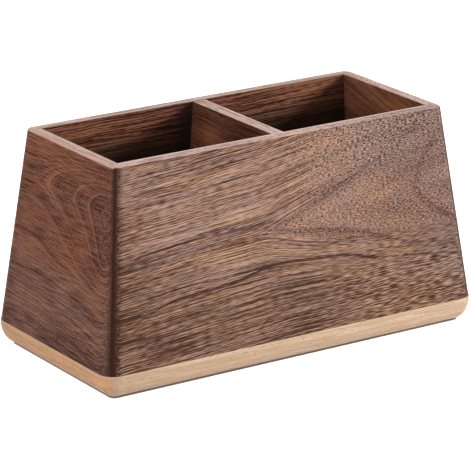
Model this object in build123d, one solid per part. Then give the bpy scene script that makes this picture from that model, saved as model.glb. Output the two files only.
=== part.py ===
from build123d import *
from math import atan2, cos, degrees, pi, sin, sqrt
import os

# A two-compartment pen holder: four leaning walnut walls and a divider on a pale base plate.
# Millimetres, +Z up, +X along the length, front towards -Y, origin under the middle of the base plate.

# Walnut body
foot_length = 200.0         # outside length at the foot, along X
foot_width = 100.0          # outside width at the foot, along Y
wall_height = 91.0          # foot to rim
lean = 11.5                 # how far each wall leans in between foot and rim
board = 6.0                 # wall thickness, square to its face
foot_corner = 7.6           # radius of the upright outer edges at the foot
rim_corner = 3.8            # and at the rim
rim_ease = 0.8              # rounding along the rim's outer edge
mouth_ease = 0.15           # rounding along the rim's inner edge

# Divider
divider_board = 6.4         # thickness along X
divider_shift = 0.8         # its middle stands this far right of the body's middle
housing_depth = 2.0         # how deep its tongues sit in the long walls
housing_stop = 10.0         # the housings stop this far below the rim
divider_ease = 0.15         # rounding along its top edges

# Base plate
base_thickness = 12.0
base_proud = 0.3            # how far its upright lip stands out from the walls
base_lip = 1.0              # height of the upright lip
round_reach = 9.2           # how far the rounding below the lip runs in under the plate
bottom_corner = 0.5         # plan radius at the flat underside
corner_power = 1.5          # how fast the plan corners tighten towards it
round_steps = 6             # cross-sections that shape the rounding
base_ease = 0.3             # rounding along the plate's upper edge

# Loose tongues across the mitres
spline_thickness = 2.0
spline_width = 6.0          # across the mitre
spline_depth = 3.0          # from the inside corner to the tongue's middle
spline_stop = 10.0          # it ends this far from foot and rim

# Dowel pins between the base plate and what stands on it
dowel_diameter = 3.0
dowel_below = 5.0           # how deep a pin sits in the plate
dowel_above = 7.0           # and in the board above it
dowel_spread = 60.0         # long-wall pins, from the middle
divider_dowel_spread = 20.0  # divider pins, from the middle

glue_gap = 0.1              # room for glue round tongues and pins
dowel_end_gap = 0.5         # room left at each end of a pin

touch = 1e-3                # distances under this count as touching when edges are picked

# Worked out from the sizes above
foot_z = base_thickness
rim_z = foot_z + wall_height
slope = lean / wall_height
wall_flat = board * sqrt(1 + slope**2)      # wall thickness measured level
rim_length = foot_length - 2 * lean
rim_width = foot_width - 2 * lean
round_height = base_thickness - base_lip
plate_length = foot_length + 2 * base_proud
plate_width = foot_width + 2 * base_proud
plate_corner = foot_corner + base_proud


def inner_x(z):
    """Half the clear length between the end walls at height z."""
    return foot_length / 2 - wall_flat - slope * (z - foot_z)


def inner_y(z):
    """Half the clear width between the long walls at height z."""
    return foot_width / 2 - wall_flat - slope * (z - foot_z)


def rounded_section(length, width, radius, z):
    """A level rounded rectangle at height z."""
    return Plane.XY.offset(z) * RectangleRounded(length, width, radius)


def level_section(length, width, z):
    """A level square-cornered rectangle at height z."""
    return Plane.XY.offset(z) * Rectangle(length, width)


def prism(points, bottom, top):
    """A plan outline drawn straight up between two heights."""
    outline = make_face(Polyline(*points, close=True))
    return extrude(Pos(0, 0, bottom) * outline, top - bottom)


def four_walls():
    """The open box of all four walls, before the mitres part it."""
    outside = loft(
        [
            rounded_section(foot_length, foot_width, foot_corner, foot_z),
            rounded_section(rim_length, rim_width, rim_corner, rim_z),
        ],
        ruled=True,
    )
    inside = loft(
        [
            level_section(2 * inner_x(foot_z), 2 * inner_y(foot_z), foot_z),
            level_section(2 * inner_x(rim_z), 2 * inner_y(rim_z), rim_z),
        ],
        ruled=True,
    )
    return outside - inside


def long_share(side):
    """The room of the front (side -1) or back (side 1) wall between the two 45 degree mitre planes."""
    ridge = (foot_length - foot_width) / 2
    reach = foot_width / 2
    points = [
        (-ridge - reach, side * reach),
        (ridge + reach, side * reach),
        (ridge, 0),
        (-ridge, 0),
    ]
    return prism(points, foot_z, rim_z)


def end_share(side):
    """The room of the left (side -1) or right (side 1) wall between the two 45 degree mitre planes."""
    ridge = (foot_length - foot_width) / 2
    reach = foot_width / 2
    points = [
        (side * (ridge + reach), -reach),
        (side * (ridge + reach), reach),
        (side * ridge, 0),
    ]
    return prism(points, foot_z, rim_z)


def rim_edges(wall, on_mouth):
    """The wall's rim edges at the mouth, or those outside with the corner arcs, without its mitre edges."""
    found = []
    for edge in wall.edges().filter_by_position(Axis.Z, rim_z, rim_z):
        heading = edge.tangent_at(0.5)
        middle = edge.position_at(0.5)
        along_mitre = abs(abs(heading.X) - abs(heading.Y)) < touch
        at_mouth = abs(middle.X) < inner_x(rim_z) + touch and abs(middle.Y) < inner_y(rim_z) + touch
        if not along_mitre and at_mouth == on_mouth:
            found.append(edge)
    return found


def ease_rim(wall):
    """Rounds the wall's rim along its outer edge and, less, along the mouth."""
    wall = fillet(rim_edges(wall, False), rim_ease)
    return fillet(rim_edges(wall, True), mouth_ease)


def cross_panel(extra, bottom, top, thickness):
    """A board across the box that leans with the long walls and reaches extra past their inner faces."""
    low = inner_y(bottom) + extra
    high = inner_y(top) + extra
    outline = make_face(Polyline((-low, bottom), (low, bottom), (high, top), (-high, top), close=True))
    return Pos(divider_shift, 0, 0) * extrude(Plane.YZ * outline, thickness / 2, both=True)


def dowel_places():
    """Plan places of the pins: two under each long wall, one under each end wall, two under the divider."""
    shift = slope * dowel_above / 2     # keeps the pin in the middle of the leaning wall
    row_y = foot_width / 2 - wall_flat / 2 - shift
    row_x = foot_length / 2 - wall_flat / 2 - shift
    places = [(x, y) for x in (-dowel_spread, dowel_spread) for y in (-row_y, row_y)]
    places += [(-row_x, 0), (row_x, 0)]
    places += [(divider_shift, y) for y in (-divider_dowel_spread, divider_dowel_spread)]
    return places


def pins(gap, end_gap):
    """One upright pin at each place, across the joint; the gaps widen and lengthen it into its hole."""
    bottom = foot_z - dowel_below - end_gap
    top = foot_z + dowel_above + end_gap
    pin = Cylinder(dowel_diameter / 2 + gap, top - bottom)
    return [Pos(x, y, (bottom + top) / 2) * pin for x, y in dowel_places()]


def spline(side_x, side_y, gap):
    """A loose tongue square across one mitre, leaning with the corner; gap widens it into its slot."""
    turn = degrees(atan2(side_y, side_x))
    step = spline_depth / sqrt(2)
    sections = []
    for z in (foot_z + spline_stop - gap, rim_z - spline_stop + gap):
        place = Pos(side_x * (inner_x(z) + step), side_y * (inner_y(z) + step), z) * Rot(0, 0, turn)
        sections.append(place * Rectangle(spline_thickness + 2 * gap, spline_width + 2 * gap))
    return loft(sections, ruled=True)


def base_plate():
    """The pale plate: an upright lip, then a quarter-ellipse rounding with plan corners that tighten."""
    lip = extrude(rounded_section(plate_length, plate_width, plate_corner, round_height), base_lip)
    sections = []
    for step in range(round_steps + 1):
        angle = step / round_steps * pi / 2
        inset = round_reach * (1 - cos(angle))
        corner = bottom_corner + (plate_corner - bottom_corner) * max(0, cos(angle)) ** corner_power
        z = round_height * (1 - sin(angle))
        sections.append(rounded_section(plate_length - 2 * inset, plate_width - 2 * inset, corner, z))
    plate = lip + loft(sections)
    plate = fillet(plate.faces().sort_by(Axis.Z)[-1].edges(), base_ease)
    return plate - pins(glue_gap, dowel_end_gap)


corners = {
    "front_left": (-1, -1),
    "front_right": (1, -1),
    "back_left": (-1, 1),
    "back_right": (1, 1),
}
box = four_walls()
pin_holes = pins(glue_gap, dowel_end_gap)
slots = [spline(*corner, glue_gap) for corner in corners.values()]
housing = cross_panel(
    housing_depth + glue_gap, foot_z, rim_z - housing_stop + glue_gap, divider_board + 2 * glue_gap
)

nodes = {}
for name, share in (
    ("front_wall", long_share(-1)),
    ("back_wall", long_share(1)),
    ("left_wall", end_share(-1)),
    ("right_wall", end_share(1)),
):
    nodes[name] = ease_rim(box & share) - housing - slots - pin_holes

panel = cross_panel(0, foot_z, rim_z, divider_board)
tongues = cross_panel(housing_depth, foot_z, rim_z - housing_stop, divider_board)
long_top_edges = panel.edges().filter_by_position(Axis.Z, rim_z, rim_z).filter_by(Axis.Y)
nodes["divider"] = fillet(long_top_edges, divider_ease) + tongues - pin_holes
nodes["base_plate"] = base_plate()
for name, corner in corners.items():
    nodes["spline_" + name] = spline(*corner, 0)
nodes["base_dowels"] = Compound(children=pins(0, 0))

os.makedirs("parts", exist_ok=True)
for name, solid in nodes.items():
    export_step(solid, f"parts/{name}.step")
    print(name, round(solid.volume, 1))
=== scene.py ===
import math
from dataclasses import dataclass

import bpy
import numpy as np
from bpy.props import FloatProperty, FloatVectorProperty, PointerProperty
from bpy.types import Operator, Panel, PropertyGroup
from mathutils import Matrix, Vector


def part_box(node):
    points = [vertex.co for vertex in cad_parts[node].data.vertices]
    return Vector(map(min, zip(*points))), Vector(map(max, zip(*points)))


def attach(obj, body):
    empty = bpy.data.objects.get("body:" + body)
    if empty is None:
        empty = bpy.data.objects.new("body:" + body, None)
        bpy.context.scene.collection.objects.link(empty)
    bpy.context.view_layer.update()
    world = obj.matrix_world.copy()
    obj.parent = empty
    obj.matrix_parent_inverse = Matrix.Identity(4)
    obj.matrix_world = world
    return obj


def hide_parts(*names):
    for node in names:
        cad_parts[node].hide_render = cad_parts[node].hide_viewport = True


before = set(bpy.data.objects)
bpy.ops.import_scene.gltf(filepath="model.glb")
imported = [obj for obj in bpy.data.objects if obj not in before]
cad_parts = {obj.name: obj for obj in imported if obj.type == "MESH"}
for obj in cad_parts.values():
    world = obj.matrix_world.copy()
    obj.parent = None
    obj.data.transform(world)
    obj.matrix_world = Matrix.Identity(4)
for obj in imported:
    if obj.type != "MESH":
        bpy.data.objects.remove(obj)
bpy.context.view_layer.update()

bl_info = {
    "name": "Two-bay pen holder",
    "version": (1, 0, 0),
    "blender": (4, 5, 0),
    "location": "3D View > Sidebar > Pen holder",
    "description": "Dresses the packed pen holder: leaning walnut walls and a divider on a pale base plate",
    "category": "Object",
}

MM = 0.001

# Figure of a plain walnut board, in millimetres (along the board, up its face, in from its outer face) and
# shares from 0 to 1. Each board below changes what differs.
PLAIN_FIGURE = {
    "flow": "plain",  # how the grain runs: plain, arch or eyes
    "length": 1.0,  # scales the length of the streaks
    "axis": (0.0, 40.0),  # point that the grain turns about: along, height
    "wave": 8.0,  # how far the grain wavers
    "rings": [(0, 0.3), (20, 0.45), (34, 0.5), (44, 0.4), (50, 0.6), (60, 0.5)],  # ring field, tone
    "veins": [],  # half width, darkening, cooling, (along, height) points
    "patches": [],  # along, height, half width, half height, change of tone, cooling
    "inner_tint_and_shade": (0.69, 0.465, 0.37),  # colour shares of the inner face, darker and redder: partly painted shade
    "edge": (0.0, 0.45, 0.75, 0.0),  # rounded ends: grey share, turn where dark starts and is full, share
    "shade": None,  # painted shade on the rounded corner at the left end: reach, share
    "rim": (0.45, 0.9),  # rise of the normal where the rim starts and is full; the rim's pale colour is partly painted light from above
    "rim_highlight": (7.0, 8.0, 0.0),  # painted highlight on the inner edge: depth where it starts and is full, share
    "rim_stop": (7.0, 8.0),  # depth where the rim starts to turn dark and is dark
    "rim_outer": 0.0,  # share of the warm outer edge
    "rim_fade": (0.0, 1.0, 0.0),  # weaker rim: place along where it starts and is full, share
    "rim_line": 0.0,  # share of the dark line under the rim
    "inner_painted_shade": 0.6,  # share of the painted shade deep inside the bays
    "corners": [],  # painted shade in inner corners, where the divider and end walls cast shade: along, reach, share
}

# A board also has the seed of its noise, the tilt of its grain in degrees, its mean tone (light), the
# strength of its fine grain (contrast) and broad bands, and the colour shares of its outer face and that
# face's foot. Arches have a flare up and down; eyes have loops (along, height, half width, half
# height) and their tones.
FIGURES = {
    "front_wall": {
        **PLAIN_FIGURE,
        "flow": "arch",
        "seed": 3.0,
        "axis": (-11.0, 50.3),
        "tilt": 4.3,
        "wave": 2.6,
        "flare": (0.36, 0.36),
        "rings": [(-45, 0.52), (-4, 0.54), (0.5, 0.44), (4, 0.44), (8, 0.56), (20, 0.52), (45, 0.50)],
        "veins": [
            (0.6, 0.42, 0.4, [(-104, 24.3), (-93, 24.5), (-73, 25.3), (-67, 27.8), (-60, 28.7)]),
            (1.15, 0.70, 0.4, [(-68, 27.3), (-60, 28.7), (-50, 29.5), (-30, 31), (-18, 33.7), (-6.7, 34.5),
                               (7, 34.2), (17, 33.7), (27, 32.8), (38, 30.3), (50, 28.0)]),
            (0.8, 0.36, 0.4, [(46, 28.9), (50, 28.0), (60, 26.6), (74, 25.0), (88, 23.2), (104, 21.4)]),
            (2.2, 0.17, 0.4, [(-11, 50.6), (6.7, 56.2), (23.3, 62), (38.3, 68.7), (50, 74.5), (63, 79),
                              (72, 87), (82, 94)]),
            (2.2, 0.17, 0.4, [(-11, 50.2), (6.7, 47), (20, 45.3), (43, 40.3), (58, 33.7), (75, 29),
                              (92, 27), (104, 26)]),
            (3.4, 0.16, 0.5, [(68.3, 56.2), (72, 64), (77, 72), (84, 80), (92, 88)]),
            (3.4, 0.18, 0.5, [(68.3, 56.2), (75, 50), (82, 44), (90, 39), (100, 34)]),
            (1.0, 0.26, 0.1, [(-21, 7), (-15, 11), (0, 14.5), (20, 17), (40, 19)]),
            (1.0, 0.26, 0.1, [(-21, 7), (-17, 3.5), (-10, 0.5), (0, -2)]),
        ],
        "patches": [
            (-60, 8, 80, 26, -0.235, 0.0), (72, 84, 24, 13, -0.14, 1.6), (-74, 48.5, 26, 3.6, -0.30, 0.5),
            (-32, 54, 30, 1.8, -0.28, 0.4), (-34, 44, 22, 5.0, 0.15, -0.2), (-8, 61, 22, 12, 0.10, 0.0),
            (-76, 70, 30, 7.0, -0.15, 0.1), (60, 28, 60, 40, -0.11, 0.0), (60, 66, 44, 30, -0.11, 0.15),
            (84, 6, 44, 10, -0.14, -0.2), (-86, 28, 22, 20, -0.12, -0.15), (94, 30, 12, 40, 0.0, 0.5),
            (46, 57, 12, 6.0, 0.10, -0.2), (-40, 91, 55, 3.5, -0.14, 0.0), (40, 91, 50, 3.5, -0.10, 0.0),
            (-11, 16, 11, 8, 0.08, 0.0), (-80, 62, 25, 6, -0.08, 0.0),
        ],
        "light": 0.64,
        "contrast": 0.88,
        "broad": 0.29,
        "tint": (1.0, 1.0, 1.0),
        "tint_low": (0.84, 0.845, 0.815),
        "edge": (0.0, 0.34, 0.58, 0.85),
        "shade": (7.2, 0.97),
        "rim": (0.55, 0.95),
        "rim_highlight": (4.8, 5.6, 1.0),
        "rim_fade": (20.0, 70.0, 0.35),
        "rim_line": 0.35,
    },
    "left_wall": {
        **PLAIN_FIGURE,
        "flow": "eyes",
        "length": 0.35,
        "seed": 11.0,
        "axis": (38.0, 70.5),
        "wave": 3.0,
        "loops": [(36.0, 67.5, 4.2, 4.6), (37.5, 57.0, 3.8, 5.2)],
        "loop_rings": [
            (0.0, 0.52), (0.3, 0.62), (0.5, 0.34), (0.8, 0.36), (1.0, 0.72), (1.15, 0.38), (2.0, 0.38),
        ],
        "rings": [
            (-50, 0.42), (-31, 0.38), (-27.3, 0.36), (-26.3, 0.76), (-24.5, 0.48), (-19, 0.40), (-14.9, 0.36),
            (-13.9, 0.76), (-12, 0.48), (-6, 0.40), (-1.0, 0.36), (0, 0.74), (1.8, 0.48), (7, 0.38),
            (11, 0.42), (12.5, 0.60), (14.5, 0.44), (20, 0.52), (25.3, 0.40), (26.5, 0.24), (28, 0.58),
            (33, 0.50), (36, 0.58), (40, 0.36), (41.5, 0.28), (43, 0.46), (55, 0.40), (75, 0.40),
        ],
        "patches": [
            (38, 31, 8, 7, 0.16, -0.4), (36, 62, 7, 16, -0.10, 0.3), (-6, 84, 30, 8, 0.10, -0.2),
            (0, 42, 30, 8, 0.07, -0.2), (30, 0, 45, 6.5, -0.28, 0.0), (-16, 16, 24, 9, 0.15, 0.0),
        ],
        "light": 0.71,
        "contrast": 0.56,
        "broad": 0.35,
        # The end face's darker, redder tints are partly painted shade
        "tint": (0.60, 0.385, 0.318),
        "tint_low": (0.60, 0.48, 0.46),
        "edge": (0.25, 0.38, 0.75, 0.85),
        "rim": (0.25, 0.60),
        "rim_highlight": (4.2, 5.0, 0.3),
        "rim_stop": (5.2, 5.6),
        "rim_outer": 0.6,
        "rim_fade": (-80.0, -70.0, 0.07),
    },
    "back_wall": {
        **PLAIN_FIGURE,
        "seed": 23.0,
        "tilt": 1.0,
        "wave": 5.0,
        "rings": [
            (0, 0.3), (30, 0.35), (36, 0.3), (38, 0.6), (40, 0.3), (42, 0.62), (44, 0.3), (45.6, 0.65),
            (47, 0.3), (48.6, 0.65), (49.8, 0.32), (51, 0.6), (53, 0.5), (60, 0.5),
        ],
        "light": 0.66,
        "contrast": 1.1,
        "broad": 0.6,
        "tint": (0.95, 0.92, 0.89),
        "tint_low": (0.93, 0.90, 0.85),
        "inner_tint_and_shade": (0.68, 0.458, 0.365),
        "edge": (0.0, 0.45, 0.75, 0.6),
        "shade": (6.8, 0.5),
        "rim_stop": (4.9, 5.3),
        "inner_painted_shade": 0.92,
        "corners": [(-5, 7, 0.85), (84, 12, 0.45)],
    },
    "right_wall": {
        **PLAIN_FIGURE,
        "seed": 37.0,
        "tilt": -14.0,
        "patches": [(0, 91, 60, 5, -0.10, 0.0), (-10, 74, 9, 5, -0.16, 0.2), (10, 82, 12, 7, 0.10, -0.4)],
        "light": 0.65,
        "contrast": 0.34,
        "broad": 0.25,
        "tint": (0.90, 0.80, 0.74),
        "tint_low": (0.88, 0.78, 0.71),
        "inner_tint_and_shade": (0.94, 0.645, 0.45),
        "edge": (0.25, 0.45, 0.75, 0.7),
        "rim_stop": (5.4, 5.7),
        "rim_outer": 0.45,
        "inner_painted_shade": 0.3,
        "corners": [(-37, 5, 0.5)],
    },
    "divider": {
        **PLAIN_FIGURE,
        "seed": 51.0,
        "tilt": -3.0,
        "patches": [(-17, 78, 9, 5, 0.36, -1.0), (0, 91, 60, 8, -0.10, 0.0), (14, 84, 18, 12, -0.20, 0.3)],
        "light": 0.56,
        "contrast": 0.4,
        "broad": 0.5,
        # The divider's darker tints are partly painted shade inside the bays
        "tint": (0.67, 0.45, 0.38),
        "tint_low": (0.67, 0.45, 0.38),
        "inner_tint_and_shade": (0.67, 0.45, 0.38),
        "rim_highlight": (5.3, 6.2, 1.0),
        "inner_painted_shade": 0.4,
        "corners": [(-36, 4, 0.5)],
    },
}

# Streaks of the woods: length and width in millimetres, octaves of detail, and a step from the wood's seed
STREAKS = {
    "slow_wave": (60.0, 22.0, 2.0, 0.0),
    "quick_wave": (16.0, 5.0, 1.0, 4.0),
    "loop_wave": (5.0, 3.0, 1.0, 11.0),
    "arc": (60.0, 1.0, 2.0, 16.0),
    "fibre": (50.0, 1.1, 2.0, 1.0),
    "line": (34.0, 0.39, 0.0, 2.0),
    "dash": (4.2, 0.40, 0.0, 5.0),
    "hair": (110.0, 1.8, 2.0, 12.0),
    "hair_gap": (55.0, 1.8, 1.0, 12.5),
    "fine_hair": (80.0, 1.1, 2.0, 17.0),
    "fine_hair_gap": (40.0, 1.1, 1.0, 17.5),
    "short_dot": (1.5, 0.37, 0.0, 9.0),
    "long_dot": (5.0, 0.53, 0.0, 13.0),
    "speck": (1.4, 0.43, 0.0, 6.0),
    "soft": (7.0, 0.9, 1.0, 10.0),
    "broad": (90.0, 2.8, 2.0, 8.0),
    "slow": (60.0, 12.0, 1.0, 3.0),
    "hue": (26.0, 1.4, 2.0, 14.0),
    "moss": (16.0, 1.3, 2.0, 21.0),
    "plate_wave": (70.0, 20.0, 1.0, 2.0),
    "plate_band": (120.0, 2.6, 2.0, 3.0),
    "plate_fine": (22.0, 0.5, 2.0, 5.0),
    "plate_fleck": (2.2, 0.5, 1.0, 7.0),
    "plate_gold": (50.0, 3.2, 1.0, 15.0),
    "end_ray": (9.0, 1.3, 2.0, 9.0),
    "end_grit": (0.9, 0.6, 1.0, 11.0),
    "end_layer": (30.0, 1.6, 2.0, 13.0),
    "pin_fibre": (12.0, 0.6, 2.0, 1.0),
}
NOISE_ROUGHNESS = 0.55

# Flow of the walnut's grain, in millimetres
QUICK_SHARE = 0.02  # height of the quick waves beside the slow ones
DEPTH_SLANT = 0.7  # how fast the rings shift with depth
ARCH_START = 14.0  # smoothing of the place where arches start to part
ARCH_AXIS = 0.8  # and of the change from the upper to the lower side
ARCH_APEX = 2.0  # roundness of their tips
RISE_HALVED = 380.0  # square of the distance over the axis where the upward flare is half
FALL_LOST = (-6.0, -34.0)  # distances under the axis between which the downward flare is lost
FALL_LOSS = 0.85  # share of it that is lost
WITHIN = (1.0, -4.0)  # ring field between outside and inside the arches
OPENED = (0.0, 55.0)  # distance past the apex over which the grain opens
EYE_CORE = 6.0  # nearest distance to the eyes
EYE_LIMIT = (58.0, 12.0)  # farthest one, and its smoothing
EYE_BEND = 0.2  # bend of the arches over the eyes
EYE_SPAN = 51.0  # distance where the field is nothing
EYE_RINGS = 25.0  # how much the field grows when the distance grows e times
EYE_FADE = (20.0, 45.0)  # distances under the axis between which the log counts for less
EYE_FADE_LOSS = 21.0
EYE_AXIS = 0.5  # smoothing of the change at the axis
LOOP_SMOOTH = 0.2
LOOP_WAVE_SHARE = 0.5
LOOP_EDGE = (1.7, 1.4)  # loop sizes between which rings give way to loops
ARC_SHARE = 1.5
VEIN_START = (-1.0, 3.0)  # a vein fades in over these distances from its first point
VEIN_END = (1.0, -6.0)  # and out over these from its last
RAMP_TOP = 100.0  # height that a ramp's 1 stands for

# Fine grain of the walnut: shares of the streaks, and the noise levels between which a mark sets in
FIBRE_SHARE = 0.22
LINE_SHARE = 3.7
DASH_SHARE = 1.6
PALE = (-0.08, -0.18)
PALE_LINE_SHARE = 0.16
LINE_PORES = (0.08, 0.20)
DASH_PORES = (0.12, 0.22)
DASH_PORE_SHARE = 0.25
HAIR = (0.062, 0.01)
HAIR_GAP = (-0.03, 0.07)
FINE_HAIR_SHARE = 0.8
OVER = (-4.0, 12.0)  # distances from the axis between which dashes turn into dots
DASHED = (3.4, 0.55)  # shares of light and of pores in the dashes under the axis
DOTTED = (2.4, 0.35)  # and what dots over it add to them
PALE_DOT_SHARE = 0.25
DOT_PORES = (0.09, 0.19)
LINE_LOSS = 0.6
SOFT_SHARE = 0.3
SPECK_SHARE = 2.0
SPECK_PORES = (0.13, 0.22)
SPECK_PORE_SHARE = 0.3

# Tone and colour of the walnut
TONES = ((0.0, "black"), (0.22, "dark"), (0.48, "brown"), (0.70, "tan"), (1.0, "pale"))
MIDDLE_TONE = 0.5
SLOW_RINGS = 4.0  # how far slow changes shift the rings
SLOW_SHARE = 0.45
BROAD_LOSS = (0.6, 0.4)  # share of the broad bands lost within arches, and where they have opened
PORE_SHARE = 0.36
HAIR_SHARE = 0.33
HUE_SHARE = 2.1
BROAD_HUE_SHARE = 1.2
WARMTH = (-0.5, 0.5)
MOSS = (-0.22, 0.22)
VEIN_WANDER = (3.0, 0.25)  # how far slow changes and fibres shift a vein
LOW_TINT = (24.0, 48.0)  # heights between the foot's tint and the face's

# Inner face, rounded ends and rim of the walnut boards, with their painted shade and highlights
INNER = (0.3, 0.7)  # turn of the normal inwards where the inner face starts and is full
INNER_PAINTED_SHADE = (88.0, 68.0)  # heights between which the painted shade inside grows dark
MOUTH_TURN = (-0.1, 0.1)  # turn inwards where the mouth's edge counts as rim
MOUTH_RISE = 0.5
RIM_LINE = (0.16, 0.4)  # rise of the normal along the line under the rim
GREY_TURN = (0.03, 0.3)  # turn of the normal along the board where its end turns grey
SHADE_FULL = 1.0  # distance from the end where the painted shade strip is full
SHADE_SLANT = (60.0, 0.025)  # height where the painted shade strip keeps its place, and its drift with height
RIM_TONE = 0.68
RIM_SHARES = (0.8, 2.2, 0.4)  # shares of fibres, broad bands and pores in the rim's tone
RIM_OUTER = (2.6, 0.4)  # depths between which the warm outer edge sets in
RIM_STOP_SHARE = 0.95
WALNUT_ROUGHNESS = (0.52, 0.2, 0.08)  # mean, and shares of pores and fibres
WALNUT_HEIGHT = (0.3, 0.6, 0.4)  # shares of fibres, pores and hair lines in the relief
WALNUT_RELIEF = 0.03 * MM
WALNUT_SPECULAR = 0.06

# Tone of the beech plate
PLATE_SLOPE = 0.03  # drift of its grain with the length
PLATE_WAVE = 4.0
PLATE_TONE = 0.18
PLATE_LIGHTER = (-110.0, 70.0)  # places along the plate between which it grows lighter
PLATE_LIGHTER_SHARE = 0.30
PLATE_SHARES = (1.5, 2.8)  # shares of its bands and fine fibres
FLECK = (0.08, 0.2)
FLECK_SHARE = 0.65
GOLD = (0.0, 0.25)
GOLD_SHARE = 0.16
END_TURN = (0.34, 0.86)  # turn of the normal along the plate where its end grain starts and is full
END_SHARE = 0.9
END_TONE = 0.42
END_LIGHTER = (1.0, 10.0)  # heights between which its ends grow lighter
END_LIGHTER_SHARE = 0.42
END_SHARES = (2.6, 1.2, 0.8)  # shares of its layers, rays and grit
END_HIGHLIGHT = (10.4, 11.7)  # heights between which the ends' upper edge turns pale: a painted highlight
END_HIGHLIGHT_SHARE = 0.4
RAY_SLANT = 0.5
PLATE_ROUGHNESS = (0.48, 0.1)  # mean, and share of flecks
PLATE_HEIGHT = (0.4, 0.5)  # shares of fine fibres and flecks in the relief
PLATE_RELIEF = 0.04 * MM
PLATE_SPECULAR = 0.1

# Tone of the bare pins and tongues
PIN_DARKER = 0.7
PIN_TONE = (0.5, 1.5)  # mean, and share of fibres
PIN_ROUGHNESS = (0.6, 0.1)
PIN_RELIEF = 0.03 * MM
PIN_SPECULAR = 0.3

# Meshes
ARC_STEPS = 10
EASE_STEPS = 6
ROUND_STEPS = 24
HOLD = 0.4 * MM  # distance from a rounding to the next line of points
HOLD_WALL = 0.995  # where the line beside a wall's rounded end lies, as a share of its run
HOLD_PLATE = (0.99, 0.995)  # and before and after each corner of the plate
SHARP_ANGLE = math.radians(35)

# Studio, in metres
FLOOR_HALF = 4.0
FLOOR_CELLS = 4
FLOOR_DROP = 0.05 * MM  # keeps the floor just under the plate
FLOOR_TONE = (0.8, 0.8, 0.8)
# Painted contact shadow: the floor's colour where the plate closes over it
PAINTED_CONTACT_SHADE = (0.38, 0.34, 0.32)
CONTACT_REACH = 1.1 * MM  # how far the painted contact shadow reaches where the plate meets the floor
CONTACT_OPEN = (0.40, 0.90)  # openness between the painted contact shadow and the white floor
CONTACT_SAMPLES = 8
WHITE = (1.0, 1.0, 1.0)
LAMPS = (  # name, setting of its power, place, size
    ("key_lamp", "key", (0.75, -0.82, 0.42), 0.24),
    ("fill_lamp", "fill", (-1.2, -0.35, 0.55), 0.8),
    ("top_lamp", "top", (0.1, -0.15, 1.3), 1.0),
)
LAMP_AIM = (0.0, 0.0, 0.05)
SENSOR_WIDTH = 36.0  # millimetres
CLIP = (0.05, 20.0)


# Settings that a user would change

def length(name, description, default):
    """A length setting in metres."""
    return FloatProperty(
        name=name, description=description, default=default, min=0.0, precision=5, unit="LENGTH"
    )


def position(name, description, default):
    """A place in metres, to either side of the middle."""
    return FloatProperty(
        name=name, description=description, default=default, precision=5, unit="LENGTH"
    )


def colour(name, description, default):
    """A colour setting, in linear values."""
    return FloatVectorProperty(
        name=name, description=description, default=default, size=3, min=0.0, max=1.0, subtype="COLOR"
    )


def amount(name, description, default):
    """A plain number setting."""
    return FloatProperty(name=name, description=description, default=default)


def turn(name, description, degrees):
    """An angle setting."""
    return FloatProperty(name=name, description=description, default=math.radians(degrees), subtype="ANGLE")


class HolderSizes(PropertyGroup):
    """Sizes of the pieces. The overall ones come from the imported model."""

    foot_length: length("Foot length", "Outside length at the foot", -2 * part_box("left_wall")[0].x)
    foot_width: length("Foot width", "Outside width at the foot", -2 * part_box("front_wall")[0].y)
    foot_height: length("Foot height", "Top of the base plate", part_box("base_plate")[1].z)
    rim_height: length("Rim height", "Top of the walls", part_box("front_wall")[1].z)
    lean: length("Lean", "How far a wall leans in between foot and rim", 11.5 * MM)
    board: length("Board", "Wall thickness, square to its face", 6.0 * MM)
    foot_corner: length("Foot corner", "Radius of the upright edges at the foot", 7.6 * MM)
    rim_corner: length("Rim corner", "Radius of the upright edges at the rim", 3.8 * MM)
    rim_ease: length("Rim ease", "Rounding of the rim's outer edge", 0.8 * MM)
    mouth_ease: length("Mouth ease", "Rounding of the rim's inner edge", 0.15 * MM)
    divider_left: position("Divider left", "Its left face along the length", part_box("divider")[0].x)
    divider_right: position("Divider right", "Its right face along the length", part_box("divider")[1].x)
    divider_ease: length("Divider ease", "Rounding of the divider's top edges", 0.15 * MM)
    base_proud: length("Base proud", "How far the base plate stands out from the walls", 0.3 * MM)
    base_lip: length("Base lip", "Height of the base plate's upright lip", 1.0 * MM)
    base_ease: length("Base ease", "Rounding of the base plate's upper edge", 0.3 * MM)
    round_reach: length("Rounding reach", "How far the rounding runs in under the plate", 9.2 * MM)
    bottom_corner: length("Bottom corner", "Plan radius of the flat underside", 0.5 * MM)
    corner_power: amount("Corner tightening", "How fast the plan corners tighten towards the underside", 1.5)


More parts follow.
